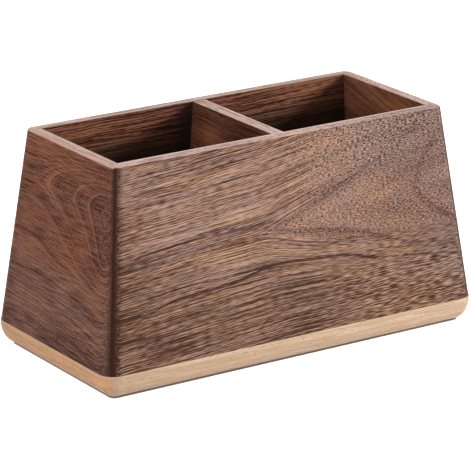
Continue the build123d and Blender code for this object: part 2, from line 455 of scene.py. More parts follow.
class HolderWoods(PropertyGroup):
    """Colours of the woods."""

    pale: colour("Pale walnut", "Lightest fibres", (0.545, 0.337, 0.246))
    tan: colour("Tan walnut", "Light early wood", (0.373, 0.214, 0.157))
    brown: colour("Brown walnut", "Middle tone", (0.254, 0.135, 0.097))
    dark: colour("Dark walnut", "Late wood", (0.138, 0.0625, 0.041))
    black: colour("Pore walnut", "Pores and the darkest lines", (0.072, 0.0285, 0.0165))
    warm: colour("Warm cast", "Share of red, green and blue in orange fibres", (1.0, 0.935, 0.80))
    cool: colour("Cool cast", "Share of red, green and blue in purple fibres", (0.785, 0.875, 1.0))
    rosy: colour("Rosy cast", "Share of red, green and blue in rosy fibres", (1.0, 0.945, 0.985))
    mossy: colour("Mossy cast", "Share of red, green and blue in greenish fibres", (0.955, 1.0, 0.95))
    # The rim's pale colour is partly the sanded wood and partly painted light from above
    rim: colour("Sanded rim", "Sanded edge grain of the rim", (0.700, 0.495, 0.425))
    # Painted shade: the dark colour mixed into the inner faces deep inside the bays and in their corners
    shade: colour("Inner shade", "Wood deep inside the bays", (0.028, 0.0180, 0.0145))
    rim_outer: colour("Rim outside", "Warm outer edge of the end boards' rim", (0.760, 0.450, 0.330))
    # Painted highlight along the rim's inner edge
    rim_highlight: colour("Rim edge", "Bright inner edge of the rim", (1.0, 0.790, 0.700))
    rim_dark: colour("Rim lines", "Darker fibres of the rim", (0.330, 0.210, 0.170))
    # Also the colour of the painted shade strip beside the left end, and of the dark line under the rim
    end_grain_and_shade: colour("End grain", "Edge where the grain runs out", (0.040, 0.0140, 0.0080))
    edge_grey: colour("Rounded edge", "Greyish rounded upright edge", (0.170, 0.105, 0.090))
    plate_light: colour("Plate light", "Light fibres of the base plate", (0.690, 0.522, 0.384))
    plate_dark: colour("Plate dark", "Darker fibres of the base plate", (0.545, 0.372, 0.246))
    plate_end: colour("Plate end grain", "End grain of the base plate", (0.740, 0.390, 0.190))
    plate_fleck: colour("Plate flecks", "Short flecks in the base plate", (0.420, 0.240, 0.130))
    pin: colour("Dowels and tongues", "Bare hidden joinery", (0.600, 0.440, 0.290))


class StudioSettings(PropertyGroup):
    """Camera and lamps."""

    azimuth: turn("Azimuth", "Camera's turn round the holder", -33.176)
    elevation: turn("Elevation", "Camera's height above the horizon", 17.969)
    roll: turn("Roll", "Camera's turn about its own line of sight", -0.288)
    distance: length("Distance", "Camera to the middle of the foot", 1.53003)
    aim_right: position("Aim right", "From the middle of the foot to the line of sight", 0.000913)
    aim_up: position("Aim up", "From the middle of the foot up to the line of sight", 0.032817)
    lens: amount("Lens", "Focal length in millimetres on a 36 mm sensor", 253.2)
    sky: amount("Sky", "Strength of the even light from all round", 0.25)
    key: amount("Key lamp", "Watts of the lamp at the front right", 10.0)
    fill: amount("Fill lamp", "Watts of the lamp at the left", 7.3)
    top: amount("Top lamp", "Watts of the lamp overhead", 5.0)


class HolderSettings(PropertyGroup):
    """All settings of the holder and its studio."""

    sizes: PointerProperty(name="Sizes", description="Sizes of the pieces", type=HolderSizes)
    woods: PointerProperty(name="Woods", description="Colours of the woods", type=HolderWoods)
    studio: PointerProperty(name="Studio", description="Camera and lamps", type=StudioSettings)


# Shader expressions

class Value:
    """A number that varies over a surface. Arithmetic with it adds Math nodes to its finish."""

    def __init__(self, finish, socket):
        self.finish = finish
        self.socket = socket

    def math(self, operation, *others):
        """One Math node with this value first."""
        return self.finish.node("ShaderNodeMath", {"operation": operation}, dict(enumerate((self, *others))))

    def after(self, operation, first):
        """One Math node with this value second."""
        return self.finish.node("ShaderNodeMath", {"operation": operation}, {0: first, 1: self})

    def __add__(self, other):
        return self.math("ADD", other)

    def __sub__(self, other):
        return self.math("SUBTRACT", other)

    def __rsub__(self, other):
        return self.after("SUBTRACT", other)

    def __mul__(self, other):
        return self.math("MULTIPLY", other)

    def __truediv__(self, other):
        return self.math("DIVIDE", other)

    def __rtruediv__(self, other):
        return self.after("DIVIDE", other)

    def __neg__(self):
        return self.math("MULTIPLY", -1.0)

    __radd__ = __add__
    __rmul__ = __mul__

    def size(self):
        """Its distance from zero."""
        return self.math("ABSOLUTE")

    def root(self):
        """Its square root."""
        return self.math("SQRT")

    def log(self):
        """Its natural logarithm."""
        return self.math("LOGARITHM", math.e)

    def bell(self):
        """e to the power of minus this value."""
        return (-self).math("EXPONENT")

    def step(self, low, high):
        """0 below low, 1 above high, and a smooth rise between."""
        return self.finish.node(
            "ShaderNodeMapRange", {"interpolation_type": "SMOOTHSTEP"},
            {"Value": self, "From Min": low, "From Max": high},
        )


class Finish:
    """The nodes of a material, or of the world."""

    def __init__(self, owner):
        owner.use_nodes = True
        self.owner = owner
        self.tree = owner.node_tree
        self.tree.nodes.clear()

    def node(self, kind, settings, sockets, out=0):
        """Adds a node: its settings or ramp stops first, then the values or links of its sockets."""
        made = self.tree.nodes.new(kind)
        for key, value in settings.items():
            if key == "stops":
                self.set_stops(made.color_ramp.elements, value)
            elif key == "blend":
                made.color_ramp.interpolation = value
            else:
                setattr(made, key, value)
        for key, value in sockets.items():
            self.feed(made.inputs[key], value)
        return Value(self, made.outputs[out]) if made.outputs else None

    def feed(self, socket, value):
        """Links a value to a socket, or sets the socket to a number, vector or colour."""
        if isinstance(value, Value):
            self.tree.links.new(value.socket, socket)
        elif socket.type == "RGBA":
            socket.default_value = (*value, 1.0)
        else:
            socket.default_value = value

    @staticmethod
    def set_stops(elements, stops):
        """Puts (place, colour) stops into a ramp, in rising order."""
        for element, (place, shade) in zip(elements, (stops[0], stops[-1])):
            element.position = place
            element.color = (*shade, 1.0)
        for place, shade in stops[1:-1]:
            elements.new(place).color = (*shade, 1.0)

    def ramp(self, value, stops, blend="LINEAR"):
        """A colour ramp over a value."""
        return self.node("ShaderNodeValToRGB", {"stops": stops, "blend": blend}, {"Fac": value})

    def graph(self, value, points, blend="LINEAR"):
        """A number that follows (place, number) points, by the ramp's own way between them."""
        low = points[0][0]
        span = points[-1][0] - low
        stops = [((at - low) / span, (number, number, number)) for at, number in points]
        return self.ramp((value - low) / span, stops, blend)

    def mix(self, share, first, second, blend="MIX"):
        """Mixes two colours by a share."""
        return self.node(
            "ShaderNodeMix", {"data_type": "RGBA", "blend_type": blend},
            {0: share, 6: first, 7: second}, out=2,
        )

    def dot(self, vector, direction):
        """How far a vector reaches along a direction."""
        settings = {"operation": "DOT_PRODUCT"}
        return self.node("ShaderNodeVectorMath", settings, {0: vector, 1: direction}, out=1)

    def coordinates(self, out):
        """Object place or normal of the point that is shaded."""
        return self.node("ShaderNodeTexCoord", {}, {}, out=out)

    def streaks(self, kind, along, across, depth, scale=1.0, seed=0.0):
        """Noise drawn out along the grain to a kind's length and width, about zero in the middle."""
        long, wide, detail, step = STREAKS[kind]
        x = along * (1 / (long * scale)) + (seed + step)
        sockets = {"X": x, "Y": across * (1 / wide), "Z": depth * (1 / wide)}
        place = self.node("ShaderNodeCombineXYZ", {}, sockets)
        noise = self.node(
            "ShaderNodeTexNoise", {"noise_dimensions": "3D"},
            {"Vector": place, "Scale": 1.0, "Detail": detail, "Roughness": NOISE_ROUGHNESS},
        )
        return noise - 0.5

    def surface(self, base, roughness, height, relief, specular):
        """Joins colour, roughness and relief in the surface shader. Relief is in metres."""
        bump = self.node("ShaderNodeBump", {}, {"Strength": 1.0, "Distance": relief, "Height": height})
        shader = self.node(
            "ShaderNodeBsdfPrincipled", {},
            {"Base Color": base, "Roughness": roughness, "Normal": bump, "Specular IOR Level": specular},
        )
        self.node("ShaderNodeOutputMaterial", {}, {"Surface": shader})
        return self.owner


# Woods

def board_axes(name, sizes):
    """Where a board's own axes lie: a point at its outer foot, and its along, up and inward directions."""
    lean = math.atan2(sizes.lean, sizes.rim_height - sizes.foot_height)
    up = math.cos(lean)
    tip = math.sin(lean)
    end_x = sizes.foot_length / 2
    side_y = sizes.foot_width / 2
    foot = sizes.foot_height
    return {
        "front_wall": ((0, -side_y, foot), (1, 0, 0), (0, tip, up), (0, up, -tip)),
        "back_wall": ((0, side_y, foot), (1, 0, 0), (0, -tip, up), (0, -up, -tip)),
        "left_wall": ((-end_x, 0, foot), (0, -1, 0), (tip, 0, up), (up, 0, -tip)),
        "right_wall": ((end_x, 0, foot), (0, -1, 0), (-tip, 0, up), (-up, 0, -tip)),
        "divider": ((sizes.divider_left, 0, foot), (0, -1, 0), (0, 0, 1), (1, 0, 0)),
    }[name]


@dataclass
class Flow:
    """How the grain runs on a board."""

    run: Value  # distance along the grain
    lanes: Value  # distance across it, steady along a fibre
    field: Value  # steady along a growth ring
    within: Value = None  # 1 within arches
    opened: Value = None  # rises from 0 to 1 past their apex
    across: Value = None  # distance from their axis
    ring: Value = None  # ring tone, where it isn't read from the field


class Board:
    """A walnut board's finish in the making: its figure, its own axes in millimetres and its flow."""

    def __init__(self, name, sizes):
        origin, self.along_way, up_way, self.in_way = board_axes(name, sizes)
        self.plan = FIGURES[name]
        self.finish = Finish(bpy.data.materials.new(name + "_walnut"))
        self.normal = self.finish.coordinates("Normal")
        place = self.finish.coordinates("Object")
        self.along, self.height, self.depth = (
            (self.finish.dot(place, way) - Vector(origin).dot(Vector(way))) * (1 / MM)
            for way in (self.along_way, up_way, self.in_way)
        )
        self.flow = FLOWS[self.plan["flow"]](self)

    def streaks(self, kind, run, across, scale=1.0):
        """Streaks of a kind along given distances."""
        return self.finish.streaks(kind, run, across, self.depth, scale, self.plan["seed"])

    def lane_streaks(self, kind):
        """Streaks of a kind along the board's own lanes."""
        return self.streaks(kind, self.flow.run, self.flow.lanes, self.plan["length"])


def turned(board):
    """Distances along and across the grain: the board's own, turned by the tilt about the axis point."""
    tilt = math.radians(board.plan["tilt"])
    axis_along, axis_height = board.plan["axis"]
    from_along = board.along - axis_along
    from_height = board.height - axis_height
    run = from_along * math.cos(tilt) + from_height * math.sin(tilt)
    across = from_height * math.cos(tilt) - from_along * math.sin(tilt)
    return run, across


def waved(board, run, across):
    """The distance across the grain with slow waves and slight quick ones."""
    wave = board.plan["wave"]
    slow = board.streaks("slow_wave", run, across)
    quick = board.streaks("quick_wave", run, across)
    return across + slow * wave + quick * (wave * QUICK_SHARE)


def plain_flow(board):
    """Straight grain: the ring field is the distance across it."""
    run, across = turned(board)
    lanes = waved(board, run, across)
    return Flow(run, lanes, lanes + board.depth * DEPTH_SLANT)


def arch_flow(board):
    """Straight grain that parts into arches. Past the apex the lanes above the axis move up and those below
    it down by a flare times the distance past; the ring field is the distance from the axis less that
    spread."""
    run, across = turned(board)
    across = waved(board, run, across)
    past = run.math("SMOOTH_MAX", 0.0, ARCH_START)
    below = across.step(ARCH_AXIS, -ARCH_AXIS)
    up, down = board.plan["flare"]
    rising = up / (1 + across * across * (1 / RISE_HALVED))
    falling = down - across.step(*FALL_LOST) * (down * FALL_LOSS)
    spread = past * (rising * (1 - below) + falling * below)
    field = (across * across + ARCH_APEX**2).root() - ARCH_APEX - spread + board.depth * DEPTH_SLANT
    lanes = across - spread * (1 - below * 2)
    return Flow(run, lanes, field, field.step(*WITHIN), past.step(*OPENED), across)


def eye_flow(board):
    """Arches closed round two eyes. The field grows with the log of a distance. Over the axis that is the
    one of parabolas with one focus, half of bow + root(bow bow + 4 reach reach), with reach the distance
    along to the eyes and bow the bend times the rise over the axis squared. Under the axis it is the reach
    alone, whose log fades while the distance below is added. Loops round each eye replace the nearest
    rings."""
    plan = board.plan
    eye_along, axis_height = plan["axis"]
    from_eye = board.along - eye_along
    reach = (from_eye * from_eye + EYE_CORE**2).root().math("SMOOTH_MIN", *EYE_LIMIT)
    rise = waved(board, board.along, board.height - axis_height)
    bow = rise * rise * EYE_BEND
    focal = (bow + (bow * bow + reach * reach * 4.0).root()) * 0.5
    over = (focal * (1 / EYE_SPAN)).log() * EYE_RINGS
    fade = EYE_RINGS - rise.size().step(*EYE_FADE) * EYE_FADE_LOSS
    under = rise.size() + (reach * (1 / EYE_SPAN)).log() * fade
    field = over + rise.step(EYE_AXIS, -EYE_AXIS) * (under - over) + board.depth * DEPTH_SLANT
    near = None
    for loop_along, loop_height, wide, tall in plan["loops"]:
        x = (board.along - loop_along) / wide
        y = (board.height - loop_height) / tall
        loop = (x * x + y * y).root()
        near = loop if near is None else near.math("SMOOTH_MIN", loop, LOOP_SMOOTH)
    near = near + board.streaks("loop_wave", board.along, board.height) * LOOP_WAVE_SHARE
    loops = board.finish.graph(near, plan["loop_rings"])
    rings = board.finish.graph(field, plan["rings"])
    ring = rings + near.step(*LOOP_EDGE) * (loops - rings)
    ring = ring + board.streaks("arc", board.along, field) * ARC_SHARE
    return Flow(board.along, rise, field, ring=ring)


FLOWS = {"plain": plain_flow, "arch": arch_flow, "eyes": eye_flow}


def hairs(board, kind):
    """Thin lines where streaks of a kind cross their middle, broken by gaps."""
    crossing = board.lane_streaks(kind).size().step(*HAIR)
    return crossing * board.lane_streaks(kind + "_gap").step(*HAIR_GAP)


def straight_grain(board):
    """Fibres, pores and hair lines along the lanes."""
    lines = board.lane_streaks("line")
    dashes = board.lane_streaks("dash")
    fibre = board.lane_streaks("fibre") * FIBRE_SHARE + lines * LINE_SHARE + dashes * DASH_SHARE
    fibre = fibre + lines.step(*PALE) * PALE_LINE_SHARE
    pores = lines.step(*LINE_PORES) + dashes.step(*DASH_PORES) * DASH_PORE_SHARE
    hair = hairs(board, "hair") + hairs(board, "fine_hair") * FINE_HAIR_SHARE
    return fibre, pores, hair


def arch_grain(board, fibre, pores, hair):
    """The same where arches part: dashes and dots take over as the grain opens, and soft specks within."""
    flow = board.flow
    opened = flow.opened
    within = flow.within
    over = flow.across.step(*OVER)
    dots = board.lane_streaks("short_dot") * over + board.lane_streaks("long_dot") * (1 - over)
    light, dark = (low + over * more for low, more in zip(DASHED, DOTTED))
    fibre = fibre * (1 - opened * LINE_LOSS) + (dots * light + dots.step(*PALE) * PALE_DOT_SHARE) * opened
    pores = pores * (1 - opened) + dots.step(*DOT_PORES) * opened * dark
    specks = board.streaks("speck", flow.run, flow.across)
    soft = board.streaks("soft", flow.run, flow.across)
    fibre = fibre * (1 - within) + (soft * SOFT_SHARE + specks * SPECK_SHARE) * within
    pores = pores * (1 - within) + specks.step(*SPECK_PORES) * within * SPECK_PORE_SHARE
    return fibre, pores, hair * (1 - opened) * (1 - within)


def vein(board, height, wide, points):
    """A soft line, wide millimetres to either side, along a curve of heights through points on the board."""
    curve = board.finish.graph(board.along, [(at, up / RAMP_TOP) for at, up in points], "CARDINAL")
    mark = (height - curve * RAMP_TOP).size().step(wide, 0.0)
    for (end, _), (clear, full) in ((points[0], VEIN_START), (points[-1], VEIN_END)):
        mark = mark * board.along.step(end + clear, end + full)
    return mark


def add_figure(board, tone, warmth, wander):
    """Tone and warmth with the veins, along wandering heights, and the patches: bells round their middles."""
    for wide, darker, colder, points in board.plan["veins"]:
        mark = vein(board, wander, wide, points)
        tone = tone - mark * darker
        warmth = warmth - mark * colder
    for middle_along, middle_height, wide, tall, change, colder in board.plan["patches"]:
        x = (board.along - middle_along) / wide
        y = (board.height - middle_height) / tall
        patch = (x * x + y * y).bell()
        tone = tone + patch * change
        warmth = warmth - patch * colder
    return tone, warmth


def add_painted_inside_shade(board, woods, base, inner):
    """Painted shade on the inner face: darker with depth and in its corners, where shade falls."""
    finish = board.finish
    base = finish.mix(inner * board.height.step(*INNER_PAINTED_SHADE) * board.plan["inner_painted_shade"], base, woods.shade)
    # Painted shade in the inner corners, beside the divider and the end walls
    for corner, reach, share in board.plan["corners"]:
        x = (board.along - corner) / reach
        base = finish.mix(inner * (x * x).bell() * share, base, woods.shade)
    return base


def add_ends(board, sizes, woods, base):
    """Greyish and dark rounded ends, and a strip of painted shade beside the left one."""
    finish = board.finish
    side_turn = finish.dot(board.normal, board.along_way).size()
    grey_share, dark_from, dark_to, dark_share = board.plan["edge"]
    base = finish.mix(side_turn.step(*GREY_TURN) * grey_share, base, woods.edge_grey)
    base = finish.mix(side_turn.step(dark_from, dark_to) * dark_share, base, woods.end_grain_and_shade)
    # Painted shade on the rounded corner beside the left end, in the end grain's colour
    if board.plan["shade"]:
        reach, share = board.plan["shade"]
        level, drift = SHADE_SLANT
        slope = sizes.lean / (sizes.rim_height - sizes.foot_height)
        from_end = board.along - board.height * slope + sizes.foot_length / 2 / MM
        from_end = from_end + (board.height - level) * drift
        base = finish.mix(from_end.step(reach, SHADE_FULL) * share, base, woods.end_grain_and_shade)
    return base


def add_rim(board, woods, base, rim, tone):
    """The rim by its tone, pale from sanding and partly from painted light from above, with its warm outer
    edge, its painted highlight along the inner edge and its dark end.
    """
    finish = board.finish
    plan = board.plan
    fade_from, fade_to, fade_share = plan["rim_fade"]
    light_from, light_to, light_share = plan["rim_highlight"]
    sanded_and_top_lit = finish.mix(tone.step(0.0, 1.0), woods.rim_dark, woods.rim)
    sanded_and_top_lit = finish.mix(board.depth.step(*RIM_OUTER) * plan["rim_outer"], sanded_and_top_lit, woods.rim_outer)
    base = finish.mix(rim * (1 - board.along.step(fade_from, fade_to) * fade_share), base, sanded_and_top_lit)
    # Painted highlight on the rim's inner edge
    base = finish.mix(rim * board.depth.step(light_from, light_to) * light_share, base, woods.rim_highlight)
    return finish.mix(rim * board.depth.step(*plan["rim_stop"]) * RIM_STOP_SHARE, base, woods.dark)


def walnut(name, sizes, woods):
    """Oiled walnut for one board: ring tones over its ring field, changed by hair lines, fibres and pores, by
    slow changes and by its veins and patches; then its inner face with painted shade, its rounded ends with a
    painted shade strip, and its rim, pale partly from painted light, with a painted highlight on its inner
    edge."""
    board = Board(name, sizes)
    finish = board.finish
    plan = board.plan
    flow = board.flow
    fibre, pores, hair = straight_grain(board)
    broad = board.lane_streaks("broad")
    slow = board.lane_streaks("slow")
    if flow.within:
        fibre, pores, hair = arch_grain(board, fibre, pores, hair)
        broad = broad * (1 - flow.within * BROAD_LOSS[0]) * (1 - flow.opened * BROAD_LOSS[1])

    # Tone and warmth
    ring = flow.ring or finish.graph(flow.field + slow * SLOW_RINGS, plan["rings"])
    tone = ring + (plan["light"] - MIDDLE_TONE) + broad * plan["broad"] + slow * SLOW_SHARE
    tone = tone + (fibre - pores * PORE_SHARE - hair * HAIR_SHARE) * plan["contrast"]
    warmth = board.lane_streaks("hue") * HUE_SHARE + broad * BROAD_HUE_SHARE
    wander = board.height + slow * VEIN_WANDER[0] + fibre * VEIN_WANDER[1]
    tone, warmth = add_figure(board, tone, warmth, wander)

    # Colour
    inside = finish.dot(board.normal, board.in_way)
    inner = inside.step(*INNER)
    # Tints of the outer face and its foot; the end wall's and divider's darker tints are partly painted shade
    face_tint = finish.mix(board.height.step(*LOW_TINT), plan["tint_low"], plan["tint"])
    base = finish.ramp(tone, [(place, getattr(woods, wood)) for place, wood in TONES])
    for cast in (
        finish.mix(warmth.step(*WARMTH), woods.cool, woods.warm),
        finish.mix(board.lane_streaks("moss").step(*MOSS), woods.rosy, woods.mossy),
        # The inner faces' darker tint is partly painted shade
        finish.mix(inner, face_tint, plan["inner_tint_and_shade"]),
    ):
        base = finish.mix(1.0, base, cast, "MULTIPLY")
    base = add_painted_inside_shade(board, woods, base, inner)

    # Edges
    rise = finish.dot(board.normal, (0, 0, 1)) + inside.step(*MOUTH_TURN) * MOUTH_RISE
    base = finish.mix(rise.step(*RIM_LINE) * plan["rim_line"], base, woods.end_grain_and_shade)
    base = add_ends(board, sizes, woods, base)
    rim_tone = RIM_TONE + fibre * RIM_SHARES[0] + broad * RIM_SHARES[1] - pores * RIM_SHARES[2]
    base = add_rim(board, woods, base, rise.step(*plan["rim"]), rim_tone)

    roughness = WALNUT_ROUGHNESS[0] + pores * WALNUT_ROUGHNESS[1] - fibre * WALNUT_ROUGHNESS[2]
    height = fibre * WALNUT_HEIGHT[0] - pores * WALNUT_HEIGHT[1] - hair * WALNUT_HEIGHT[2]
    return finish.surface(base, roughness, height, WALNUT_RELIEF, WALNUT_SPECULAR)


def plain_axes(finish):
    """The place along x, y and z in millimetres."""
    place = finish.coordinates("Object")
    return (finish.dot(place, way) for way in ((1 / MM, 0, 0), (0, 1 / MM, 0), (0, 0, 1 / MM)))


def beech(woods):
    """Pale plate wood with the grain along the length: bands, fibres, golden streaks and short flecks, and
    layered end grain at the ends, with a painted highlight along their upper edge."""
    finish = Finish(bpy.data.materials.new("plate_beech"))
    along, side, height = plain_axes(finish)
    waves = finish.streaks("plate_wave", along, height, side)
    waved_height = height + along * PLATE_SLOPE + waves * PLATE_WAVE

    def streaks(kind):
        return finish.streaks(kind, along, waved_height, side)

    # Sides
    fine = streaks("plate_fine")
    flecks = streaks("plate_fleck").step(*FLECK)
    tone = PLATE_TONE + along.step(*PLATE_LIGHTER) * PLATE_LIGHTER_SHARE
    tone = tone + streaks("plate_band") * PLATE_SHARES[0] + fine * PLATE_SHARES[1]
    base = finish.mix(tone.step(0.0, 1.0), woods.plate_dark, woods.plate_light)
    base = finish.mix(streaks("plate_gold").step(*GOLD) * GOLD_SHARE, base, woods.plate_end)
    base = finish.mix(flecks * FLECK_SHARE, base, woods.plate_fleck)

    # Ends
    layers = finish.streaks("end_layer", side, height, along)
    rays = finish.streaks("end_ray", height + side * RAY_SLANT, side - height * RAY_SLANT, along)
    grit = finish.streaks("end_grit", side, height, along)
    end_tone = END_TONE + height.step(*END_LIGHTER) * END_LIGHTER_SHARE
    end_tone = end_tone + layers * END_SHARES[0] + rays * END_SHARES[1] + grit * END_SHARES[2]
    end_base = finish.mix(end_tone.step(0.0, 1.0), woods.plate_fleck, woods.plate_end)
    # Painted highlight along the upper edge of the ends
    end_base = finish.mix(height.step(*END_HIGHLIGHT) * END_HIGHLIGHT_SHARE, end_base, woods.plate_light)
    ends = finish.dot(finish.coordinates("Normal"), (1, 0, 0)).size().step(*END_TURN)
    base = finish.mix(ends * END_SHARE, base, end_base)

    roughness = PLATE_ROUGHNESS[0] + flecks * PLATE_ROUGHNESS[1]
    relief = fine * PLATE_HEIGHT[0] - flecks * PLATE_HEIGHT[1]
    return finish.surface(base, roughness, relief, PLATE_RELIEF, PLATE_SPECULAR)


def bare_pin_wood(woods):
    """Bare wood of the hidden tongues and pins: fibres up the length."""
    finish = Finish(bpy.data.materials.new("joinery_wood"))
    across, side, along = plain_axes(finish)
    fibre = finish.streaks("pin_fibre", along, across, side)
    darker = tuple(part * PIN_DARKER for part in woods.pin)
    base = finish.mix((PIN_TONE[0] + fibre * PIN_TONE[1]).step(0.0, 1.0), darker, woods.pin)
    roughness = PIN_ROUGHNESS[0] + fibre * PIN_ROUGHNESS[1]
    return finish.surface(base, roughness, fibre, PIN_RELIEF, PIN_SPECULAR)


# Shapes

def eased(before, corner, after, radius, steps=EASE_STEPS):
    """The arc of a radius that touches both sides of a corner, with a point a little way along each side.
    Its middle lies on the corner's bisector, radius over the sine of the half angle away, and its points
    turn evenly from one touching point to the other."""
    first = (before - corner) / np.linalg.norm(before - corner)
    last = (after - corner) / np.linalg.norm(after - corner)
    half = math.acos(float(first @ last)) / 2
    middle = corner + (first + last) / np.linalg.norm(first + last) * radius / math.sin(half)
    start = corner + first * radius / math.tan(half)
    end = corner + last * radius / math.tan(half)
    sweep = math.pi - 2 * half
    share = np.linspace(0, 1, steps + 1)[:, None]
    spoke = np.sin((1 - share) * sweep) * (start - middle) + np.sin(share * sweep) * (end - middle)
    arc = middle + spoke / math.sin(sweep)
    return np.vstack([start + first * HOLD, arc, end + last * HOLD])


def ring_faces(rows, columns):
    """Quads of a grid whose rows are closed loops: each joins two neighbours in a row to the next row's."""
    row, column = np.meshgrid(np.arange(rows - 1), np.arange(columns), indexing="ij")
    here = row * columns + column
    beside = row * columns + (column + 1) % columns
    return np.stack([here, beside, beside + columns, here + columns], axis=-1).reshape(-1, 4)


def make_piece(name, grid, material):
    """A closed piece from a grid whose rows are loops: quads between the rows, a face over each end loop."""
    rows, columns = grid.shape[:2]
    points = grid.reshape(-1, 3)
    quads = ring_faces(rows, columns)
    first = np.arange(columns)
    faces = quads.tolist() + [first[::-1].tolist(), (first + (rows - 1) * columns).tolist()]
    mesh = bpy.data.meshes.new(name)
    mesh.from_pydata(points.tolist(), [], faces)
    if mesh.validate():
        raise RuntimeError(f"{name} has faulty faces")
    corners = points[quads]
    volume = np.einsum("ij,ij->", corners[:, 0], np.cross(corners[:, 1], corners[:, 2]))
    volume += np.einsum("ij,ij->", corners[:, 0], np.cross(corners[:, 2], corners[:, 3]))
    if volume < 0:
        mesh.flip_normals()
    mesh.shade_smooth()
    mesh.set_sharp_from_angle(angle=SHARP_ANGLE)
    mesh.materials.append(material)
    piece = bpy.data.objects.new(name, mesh)
    bpy.context.scene.collection.objects.link(piece)
    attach(piece, "root")
    return piece


def wall_grid(sizes, half_along, half_out):
    """A mitred wall in its own axes: loops of its leaning profile, carried along from mitre to mitre.
    The profile is a leaning parallelogram with an eased rim. Along the wall, the outside follows a straight
    run and, at each end, 45 degrees of the upright edge's arc, whose radius shrinks towards the rim and to
    nothing inside."""
    foot = sizes.foot_height
    rim = sizes.rim_height
    slope = sizes.lean / (rim - foot)
    level = sizes.board * math.sqrt(1 + slope**2)
    outer_foot = np.array([half_out, foot])
    outer_rim = np.array([half_out - sizes.lean, rim])
    inner_rim = outer_rim - [level, 0]
    inner_foot = outer_foot - [level, 0]
    profile = np.vstack([
        outer_foot,
        eased(outer_foot, outer_rim, inner_rim, sizes.rim_ease),
        eased(outer_rim, inner_rim, inner_foot, sizes.mouth_ease),
        inner_foot,
    ])
    out, z = profile.T
    fall = slope * (z - foot)
    inset = half_out - fall - out
    share = (z - foot) / (rim - foot)
    radius = (sizes.foot_corner + (sizes.rim_corner - sizes.foot_corner) * share) * (1 - inset / level)
    reach = half_along - fall - inset - radius
    arc = np.linspace(0, math.pi / 4, ARC_STEPS + 1)
    angle = np.concatenate([-arc[::-1], [0.0, 0.0], arc])
    end = np.ones(ARC_STEPS + 1)
    place = np.concatenate([-end, [-HOLD_WALL, HOLD_WALL], end])
    along = place[:, None] * reach + np.sin(angle)[:, None] * radius
    outward = out - radius + np.cos(angle)[:, None] * radius
    return along, outward, np.broadcast_to(z, along.shape)


def plate_grid(sizes):
    """The base plate: loops of a rounded rectangle, carried down an eased upper edge, an upright lip and a
    quarter ellipse, while the plan corners tighten with the inset."""
    top = sizes.foot_height
    ease = sizes.base_ease
    drop = top - sizes.base_lip
    plate_corner = sizes.foot_corner + sizes.base_proud
    edge = eased(np.array([1.0, top]), np.array([0.0, top]), np.array([0.0, 0.0]), ease)
    bend = np.linspace(0, math.pi / 2, ROUND_STEPS + 1)
    inset = np.concatenate([edge[:, 0], sizes.round_reach * (1 - np.cos(bend)), [sizes.round_reach + HOLD]])
    z = np.concatenate([edge[:, 1], drop * (1 - np.sin(bend)), [0.0]])
    tighten = np.clip(inset / sizes.round_reach, 0, 1) * (z < drop)
    radius = sizes.bottom_corner + (plate_corner - sizes.bottom_corner) * (1 - tighten) ** sizes.corner_power
    half_x = sizes.foot_length / 2 + sizes.base_proud - inset - radius
    half_y = sizes.foot_width / 2 + sizes.base_proud - inset - radius
    quarter = np.concatenate([[0.0], np.linspace(0, math.pi / 2, ARC_STEPS * 2 + 1), [math.pi / 2]])
    sign_x = np.ones_like(quarter)
    sign_y = np.ones_like(quarter)
    sign_y[0], sign_x[-1] = HOLD_PLATE
    places = []
    for turn_count in range(4):
        angle = quarter + turn_count * math.pi / 2
        places.append(np.stack([sign_x, sign_y, np.cos(angle), np.sin(angle)]))
        sign_x, sign_y = -sign_y, sign_x
    across_x, across_y, way_x, way_y = np.concatenate(places, axis=1)
    x = across_x * half_x[:, None] + way_x * radius[:, None]
    y = across_y * half_y[:, None] + way_y * radius[:, None]
    return np.stack([x, y, np.broadcast_to(z[:, None], x.shape)], axis=-1)


def divider_grid(sizes):
    """The divider: loops of its eased upright profile, carried across the box; each end leans with its wall
    and reaches into the rounding of the mouth."""
    foot = sizes.foot_height
    rim = sizes.rim_height
    slope = sizes.lean / (rim - foot)
    level = sizes.board * math.sqrt(1 + slope**2)
    left_foot = np.array([sizes.divider_left, foot])
    left_rim = np.array([sizes.divider_left, rim])
    right_rim = np.array([sizes.divider_right, rim])
    right_foot = np.array([sizes.divider_right, foot])
    profile = np.vstack([
        left_foot,
        eased(left_foot, left_rim, right_rim, sizes.divider_ease),
        eased(left_rim, right_rim, right_foot, sizes.divider_ease),
        right_foot,
    ])
    x, z = profile.T
    half = sizes.foot_width / 2 - level - slope * (z - foot) + sizes.mouth_ease
    y = np.linspace(-1, 1, 3)[:, None] * half
    return np.stack([np.broadcast_to(x, y.shape), y, np.broadcast_to(z, y.shape)], axis=-1)


# Operators

def settings_of(context):
    """The holder's settings in the scene."""
    return context.scene.pen_holder


def make_walls(settings, names, half_along, half_out, order):
    """Two facing walls from one grid, the first on the minus side. The order puts the distances along,
    outward and upward on the axes x, y and z."""
    along, out, z = wall_grid(settings.sizes, half_along, half_out)
    for name, side in zip(names, (-1, 1)):
        grid = np.stack([along, side * out, z], axis=-1)[..., order]
        material = walnut(name, settings.sizes, settings.woods)
        piece = make_piece(name + "_board", grid, material)
        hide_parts(name)


class PENHOLDER_OT_long_walls(Operator):
    """Builds the front and back walls"""

    bl_idname = "pen_holder.long_walls"
    bl_label = "Long walls"

    def execute(self, context):
        settings = settings_of(context)
        half_along = settings.sizes.foot_length / 2
        half_out = settings.sizes.foot_width / 2
        make_walls(settings, ("front_wall", "back_wall"), half_along, half_out, (0, 1, 2))
        return {"FINISHED"}


